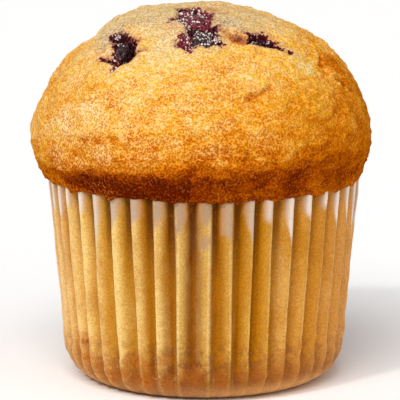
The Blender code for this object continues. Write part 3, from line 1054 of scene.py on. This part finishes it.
def caseProfile():
    # radius, height and uprightness of each row, from the middle of the base to the top edge
    settings = caseSettings
    rows = [(settings["footRadius"] * step / settings["baseRows"], 0.0, 0.0) for step in range(settings["baseRows"])]
    corner = settings["cornerRadius"]
    for step in range(settings["cornerRows"]):
        turn = math.radians(90) * step / settings["cornerRows"]
        upright = math.sin(turn)
        rows.append((settings["footRadius"] + corner * upright, corner * (1 - math.cos(turn)), upright))
    low, high = corner, rimHeight + settings["overRim"]
    for step in range(settings["wallRows"] + 1):
        height = low + (high - low) * step / settings["wallRows"]
        share = (height - corner) / (rimHeight - corner)
        widest = settings["footRadius"] + corner
        rows.append((widest + (settings["rimRadius"] - widest) * share, height, 1.0))
    return np.array(rows)


def pleatTable():
    # for each pleat: shift, dry length, slant, depth, sway and its size, side it leans to, tone
    rng = random.Random(caseSettings["seed"])
    table = []
    for pleat in range(caseSettings["pleats"]):
        signed = pleat if pleat <= caseSettings["pleats"] // 2 else pleat - caseSettings["pleats"]
        shift, dry, slant = frontPleats.get(
            signed, (rng.uniform(-1, 1) * caseSettings["wander"], rng.uniform(2.6, 6.4), rng.uniform(-1, 1))
        )
        lean = 1 if signed >= 0 else -1
        if abs(signed) > 17:
            lean = rng.choice((-1, 1))
        depth, swayStart, swaySize = rng.uniform(0.85, 1.12), rng.uniform(0, math.tau), rng.uniform(0.4, 1.0)
        table.append((shift, dry, slant, depth, swayStart, swaySize, lean, rng.uniform(-1, 1)))
    return np.array(table)


def pleatWall(phase, lean, height):
    # how far in the paper lies, 0 on the crest and 1 in the valley; a leaning pleat slopes to one side
    settings = caseSettings
    side = np.abs(phase)
    slope = np.clip((side - settings["crestHalf"]) / (settings["valleyStart"] - settings["crestHalf"]), 0, 1)
    even = 0.5 * slope + 0.5 * smoothStep(slope, 0, 1)
    leaning = phase * lean
    steep = smoothStep(leaning, 0.27, 0.37)
    gentle = np.clip((0.18 - leaning) / 0.66, 0, 1) ** 1.35
    share = 0.15 + 0.7 * (1 - smoothStep(height, settings["leanFull"], settings["leanFrom"]))
    return even + (np.maximum(steep, gentle) - even) * share, leaning


def toastOf(points):
    toast = np.zeros(len(points))
    for across, height, radius, strength in caseStains:
        away = np.hypot(points[:, 0] - across * mm, points[:, 2] - height * mm) / (radius * mm)
        toast = np.maximum(toast, strength * np.exp(-away * away))
    back = np.clip(noiseOf(points, 7 * mm, 41, 2) * 2.2, 0, 0.8) * (1 - smoothStep(points[:, 2], 5 * mm, 14 * mm))
    return np.where(points[:, 1] < 2 * mm, toast, back)


def foldSheet(sheet, rowCount, columnCount):
    settings = caseSettings
    profile = caseProfile()
    table = pleatTable()
    points = readPoints(sheet)
    column = (points[:, 0] + 0.5) * columnCount
    row = np.clip(np.rint((points[:, 1] + 0.5) * (rowCount - 1)).astype(int), 0, rowCount - 1)
    place = column / settings["perPleat"]
    pleat = np.floor(place + 0.5).astype(int)
    phase = place - pleat
    count = settings["pleats"]
    own, before, after = table[pleat % count], table[(pleat - 1) % count], table[(pleat + 1) % count]
    radius, height, upright = profile[row].T
    sway = settings["sway"] * np.sin(height / (9 * mm) + own[:, 4]) * own[:, 5]
    neighbour = np.where(phase < 0, before[:, 0], after[:, 0])
    shift = own[:, 0] + (neighbour - own[:, 0]) * np.abs(phase)
    centred = 1 - smoothStep(np.abs(phase), 0.2, 0.5)
    turn = front + (pleat + phase + shift + sway * centred) * math.tau / count
    side = np.abs(phase)
    wall, leaning = pleatWall(phase, own[:, 6], height)
    crowning = 0.07 * np.clip(side / settings["crestHalf"], 0, 1) ** 2
    runOut = settings["runOut"] * (1 + 0.7 * np.clip(np.cos(turn - math.radians(-25)), -0.6, 1))
    rise = np.clip((height - 0.15 * mm) / runOut, 0, None)
    depth = settings["pleatDepth"] * own[:, 3] * (1 - np.exp(-rise * rise * 1.2 - rise * 0.5))
    inwards = depth * (wall * 0.93 + crowning)
    radius = radius - inwards * upright
    lifted = height + inwards * np.sqrt(1 - upright * upright)
    points = np.stack([radius * np.cos(turn), radius * np.sin(turn), lifted], axis=1)
    # small dents and waves, as in soaked paper
    onWall = smoothStep(height, 1 * mm, 6 * mm)
    dents = 0.16 * mm * noiseOf(points * np.array((1, 1, 0.6)), 4 * mm, 17, 2) * onWall
    dents += 0.05 * mm * noiseOf(points * np.array((1, 1, 0.5)), 1.3 * mm, 6, 2) * onWall
    kinked = (1 - smoothStep(height, 6 * mm, 17 * mm)) * smoothStep(height, 0.4 * mm, 3 * mm)
    dents += 0.34 * mm * noiseOf(points * np.array((1, 1, 1.3)), 3.0 * mm, 12, 2) * kinked
    outwards = np.stack([np.cos(turn), np.sin(turn), np.zeros(len(points))], axis=1)
    writePoints(sheet, points + outwards * dents[:, None])
    slope = 1 + own[:, 2] * phase / settings["crestHalf"] * 0.55
    tip = rimHeight - own[:, 1] * mm * slope
    inside = (height - tip) / mm
    inside = np.minimum(inside, (0.26 - side) * 17)
    inside = np.minimum(inside, (leaning + 0.36) * 14)
    across, upper, radius = settings["drySpot"]
    away = np.hypot(points[:, 0] - across, points[:, 2] - upper)
    bare = np.minimum(1.6 * (1 - away / radius), (0.24 - side) * 20)
    inside = np.where(points[:, 1] < 0, np.maximum(inside, bare), inside)
    storeAttribute(sheet, "dry", inside)
    storeAttribute(sheet, "side", (1 + np.cos(turn)) / 2)
    rightSide = np.clip(np.cos(turn - math.radians(-22)), 0, 1) ** 2
    storeAttribute(sheet, "outer", leaning)
    # soaked paper, with painted shade across each pleat towards its inner side and in the valleys
    storeAttribute(sheet, "soaked", np.maximum(wall ** 1.5, 1 - smoothStep(leaning, -0.30, 0.12 + 0.06 * rightSide)))
    storeAttribute(sheet, "toast", toastOf(points))
    storeAttribute(sheet, "tone", own[:, 7] * (1 - smoothStep(side, 0.3, 0.5)))
    # painted shade: darkest at the top of the valleys, under the crown's edge, in front and a little to the left
    frontSide = np.clip(np.cos(turn - math.radians(256)), 0, 1) ** 2
    topShare = smoothStep(height, 22 * mm, 37 * mm)
    storeAttribute(sheet, "deep", smoothStep(wall, 0.30, 0.95) * (0.12 + 0.78 * frontSide) * topShare)


def makeCase():
    settings = caseSettings
    columnCount = settings["pleats"] * settings["perPleat"]
    rowCount = len(caseProfile())
    bpy.ops.object.select_all(action="DESELECT")
    bpy.ops.mesh.primitive_grid_add(x_subdivisions=columnCount, y_subdivisions=rowCount - 1, size=1)
    sheet = bpy.context.object
    sheet.name = "paperCase"
    foldSheet(sheet, rowCount, columnCount)
    startEditing(sheet)
    bpy.ops.mesh.remove_doubles(threshold=0.002 * mm)
    bpy.ops.mesh.normals_make_consistent(inside=False)
    stopEditing()
    applyModifier(sheet, "SOLIDIFY", thickness=settings["paper"], offset=-1)
    pick(sheet)
    bpy.ops.object.shade_smooth()
    return sheet


# colours from the case's left to its right, and darker or paler ones for some parts of it
paperLook = {
    "crest": {
        0.00: screenColour(243, 202, 144),
        0.10: screenColour(244, 206, 128),
        0.30: screenColour(236, 200, 122),
        0.46: screenColour(200, 153, 68),
        0.62: screenColour(206, 154, 62),
        0.76: screenColour(205, 142, 42),
        0.90: screenColour(211, 142, 50),
        1.00: screenColour(230, 165, 92),
    },
    # soaked paper in the valleys, with painted shade darkest a little left of the front
    "valley": {
        0.00: screenColour(222, 164, 88),
        0.10: screenColour(218, 162, 74),
        0.20: screenColour(204, 149, 46),
        0.30: screenColour(179, 119, 18),
        0.45: screenColour(146, 82, 2),
        0.60: screenColour(168, 106, 0),
        0.75: screenColour(187, 120, 4),
        0.88: screenColour(207, 140, 46),
        1.00: screenColour(224, 160, 84),
    },
    # painted highlight along each crest's outer edge
    "edge": {
        0.00: screenColour(250, 224, 174),
        0.20: screenColour(252, 222, 160),
        0.45: screenColour(244, 208, 142),
        0.65: screenColour(242, 196, 120),
        0.85: screenColour(240, 184, 108),
        1.00: screenColour(244, 194, 134),
    },
    # dry tips, darker in the middle front where the cake shows through and as painted shade under the crown's edge
    "dry": {
        0.00: screenColour(250, 242, 232),
        0.12: screenColour(236, 222, 206),
        0.22: screenColour(198, 174, 150),
        0.34: screenColour(178, 150, 130),
        0.50: screenColour(172, 140, 112),
        0.62: screenColour(194, 165, 138),
        0.74: screenColour(238, 220, 204),
        0.86: screenColour(250, 238, 226),
        1.00: screenColour(252, 244, 236),
    },
    "foot": {
        0.00: screenColour(220, 164, 102),
        0.14: screenColour(204, 138, 66),
        0.30: screenColour(158, 86, 22),
        0.46: screenColour(116, 62, 22),
        0.62: screenColour(148, 90, 38),
        0.78: screenColour(186, 117, 52),
        0.92: screenColour(204, 138, 72),
        1.00: screenColour(206, 144, 84),
    },
    # painted shade at the tops of the valleys
    "deep": screenColour(96, 42, 0),
    "dryThin": screenColour(186, 134, 84),
    "stain": screenColour(188, 117, 22),
    "clear": screenColour(246, 212, 142),
    "footDark": screenColour(116, 56, 26),
    "footLit": screenColour(248, 190, 122),
    "toast": screenColour(190, 106, 22),
    "toastDark": screenColour(122, 60, 16),
}


def acrossCase(tree, name):
    return rampNode(tree, attributeValue(tree, "side"), list(paperLook[name].items()))


def greasedShade(tree, place):
    look = paperLook
    outer = attributeValue(tree, "outer")
    cloud = noiseNode(tree, objectPlace(tree, (1, 1, 0.5)), 6 * mm, 3, 0.55)
    mottle = noiseNode(tree, place, 1.3 * mm, 3, 0.6)
    # painted highlight along each crest's outer edge
    edgeHighlight = mathNode(tree, "MULTIPLY", rangeNode(tree, outer, 0.10, 0.24, 0, 1, True), rangeNode(tree, mottle, 0.3, 0.6, 1, 0.6))
    crest = mixNode(tree, edgeHighlight, acrossCase(tree, "crest"), acrossCase(tree, "edge"))
    # the valley colour on the inner side of each pleat: soaked paper and painted shade
    shade = mixNode(tree, attributeValue(tree, "soaked"), crest, acrossCase(tree, "valley"))
    shade = mixNode(tree, rangeNode(tree, cloud, 0.50, 0.72, 0, 0.35, True), shade, look["stain"])
    tone = mathNode(tree, "ADD", attributeValue(tree, "tone"), rangeNode(tree, cloud, 0.3, 0.7, -0.8, 0.8))
    shade = mixNode(tree, rangeNode(tree, tone, 0.1, 1.4, 0, 0.35), shade, look["stain"])
    shade = mixNode(tree, rangeNode(tree, tone, -0.1, -1.4, 0, 0.26), shade, look["clear"])
    # painted shade at the tops of the valleys, under the crown's edge
    shade = mixNode(tree, attributeValue(tree, "deep"), shade, look["deep"])
    return mixNode(tree, rangeNode(tree, mottle, 0.52, 0.74, 0, 0.3, True), shade, look["stain"])


def footShade(tree, shade, place):
    # browned and mottled where the case stands, with painted shade in its folds, painted highlights on the pleats'
    # outer edges and painted light low down
    height = tree.nodes.new("ShaderNodeSeparateXYZ")
    tree.links.new(place, height.inputs[0])
    mottle = noiseNode(tree, place, 1.7 * mm, 4, 0.65)
    level = mathNode(tree, "ADD", height.outputs["Z"], rangeNode(tree, mottle, 0.3, 0.7, -5.0 * mm, 5.0 * mm))
    # painted highlight: the pleats' outer edges lighter
    foot = mixNode(tree, rangeNode(tree, attributeValue(tree, "outer"), 0.06, 0.24, 0, 0.45, True), acrossCase(tree, "foot"), acrossCase(tree, "crest"))
    # painted shade in the folds
    folds = mathNode(tree, "MULTIPLY", attributeValue(tree, "soaked"), 0.55)
    foot = mixNode(tree, folds, foot, paperLook["footDark"])
    foot = mixNode(tree, rangeNode(tree, mottle, 0.50, 0.60, 0, 0.55, True), foot, paperLook["footDark"])
    foot = mixNode(tree, rangeNode(tree, mottle, 0.42, 0.32, 0, 0.3, True), foot, acrossCase(tree, "crest"))
    shade = mixNode(tree, rangeNode(tree, level, 3.5 * mm, 12.5 * mm, 1, 0, True), shade, foot)
    toast = mathNode(tree, "MULTIPLY", attributeValue(tree, "toast"), rangeNode(tree, mottle, 0.36, 0.52, 0.3, 1))
    shade = mixNode(tree, toast, shade, paperLook["toast"])
    charred = mathNode(tree, "MULTIPLY", attributeValue(tree, "toast"), rangeNode(tree, mottle, 0.50, 0.62, 0, 0.8))
    shade = mixNode(tree, charred, shade, paperLook["toastDark"])
    # painted light low on the case, most on the right
    low = rangeNode(tree, height.outputs["Z"], 0.5 * mm, 4.5 * mm, 1, 0, True)
    lit = mathNode(tree, "MULTIPLY", low, rangeNode(tree, attributeValue(tree, "side"), 0.3, 0.85, 0.25, 0.75))
    return mixNode(tree, lit, shade, paperLook["footLit"])


def paperMaterial():
    material, tree, shader = newMaterial("bakingPaper")
    look = paperLook
    place = objectPlace(tree)
    shade = footShade(tree, greasedShade(tree, place), place)
    ragged = noiseNode(tree, place, 1.6 * mm, 2, 0.5)
    dryness = mathNode(tree, "ADD", attributeValue(tree, "dry"), rangeNode(tree, ragged, 0.3, 0.7, -0.5, 0.5))
    grain = noiseNode(tree, place, 0.3 * mm, 2, 0.6)
    speckle = rampNode(tree, grain, [(0.36, [0.79, 0.74, 0.64, 1]), (0.52, [0.95, 0.94, 0.90, 1]), (0.66, [1.12, 1.12, 1.12, 1])])
    shade = mixNode(tree, 1.0, shade, speckle, "MULTIPLY")
    thin = rangeNode(tree, attributeValue(tree, "outer"), 0.10, -0.26, 0, 0.9, True)
    dry = mixNode(tree, thin, acrossCase(tree, "dry"), look["dryThin"])
    faint = rampNode(tree, grain, [(0.36, [0.92, 0.88, 0.84, 1]), (0.58, [1, 1, 1, 1])])
    dry = mixNode(tree, 1.0, dry, faint, "MULTIPLY")
    shade = mixNode(tree, rangeNode(tree, dryness, -1.1, 1.4, 0, 0.95, True), shade, dry)
    tree.links.new(shade, shader.inputs["Base Color"])
    tree.links.new(rangeNode(tree, grain, 0.3, 0.7, 0.42, 0.6), shader.inputs["Roughness"])
    waves = bumpNode(tree, noiseNode(tree, objectPlace(tree, (1, 1, 0.4)), 1.6 * mm, 3, 0.5), 0.12 * mm, 0.6)
    tree.links.new(bumpNode(tree, grain, 0.1 * mm, 0.8, waves), shader.inputs["Normal"])
    shader.inputs["Specular IOR Level"].default_value = 0.1
    shader.inputs["Specular Tint"].default_value = (1.0, 0.88, 0.7, 1)
    return material


case = makeCase()
finishPiece(case, paperMaterial(), ["paper_case"])
print("paper case folded,", len(case.data.polygons), "faces")


# the berries: wrinkled, burst and wet

berrySettings = {
    "fineness": 6,
    "wrinkle": 0.20,  # share of the radius
}

def berryName(node):
    words = node.split("_")[1:]
    return "berry" + "".join(word.title() for word in words)


def makeBerry(node, seed, mark, behind, size, level):
    spot = crownSpot(mark, behind)
    axes = np.array(slopeAxes(spot))
    bpy.ops.object.select_all(action="DESELECT")
    bpy.ops.mesh.primitive_ico_sphere_add(subdivisions=berrySettings["fineness"], radius=1)
    berry = bpy.context.object
    berry.name = berryName(node)
    points = readPoints(berry) * np.array(size) * mm
    bulges = noiseOf(points, 1.8 * mm, seed, 2)
    folds = 1 - np.abs(noiseOf(points, 1.2 * mm, seed + 3, 2)) * 2.4
    reach = 1 + berrySettings["wrinkle"] * (bulges * 0.9 + np.clip(folds, -1, 1) * 0.4 - 0.25)
    points = points * reach[:, None]
    writePoints(berry, points @ axes + spot + axes[2] * (level - size[2]) * mm)
    markJuice(berry)
    bpy.ops.object.shade_smooth()
    return berry


def berryMaterial():
    material, tree, shader = newMaterial("burstBerry")
    place = objectPlace(tree)
    specks = noiseNode(tree, place, 0.5 * mm, 3, 0.6)
    tree.links.new(juicyShade(tree, place), shader.inputs["Base Color"])
    tree.links.new(rangeNode(tree, specks, 0.35, 0.65, 0.12, 0.34), shader.inputs["Roughness"])
    coarse = bumpNode(tree, noiseNode(tree, place, 0.9 * mm, 3, 0.6), 0.5 * mm, 0.9)
    fine = bumpNode(tree, noiseNode(tree, place, 0.32 * mm, 2, 0.6), 0.3 * mm, 1.0, coarse)
    tree.links.new(fine, shader.inputs["Normal"])
    shader.inputs["Specular IOR Level"].default_value = 0.3
    shader.inputs["Coat Weight"].default_value = 0.12
    shader.inputs["Coat Roughness"].default_value = 0.08
    return material


berryFinish = berryMaterial()
for node, shape in berryShapes.items():
    finishPiece(makeBerry(node, *shape), berryFinish, [node])
print("berries set in the crust")


print("done")
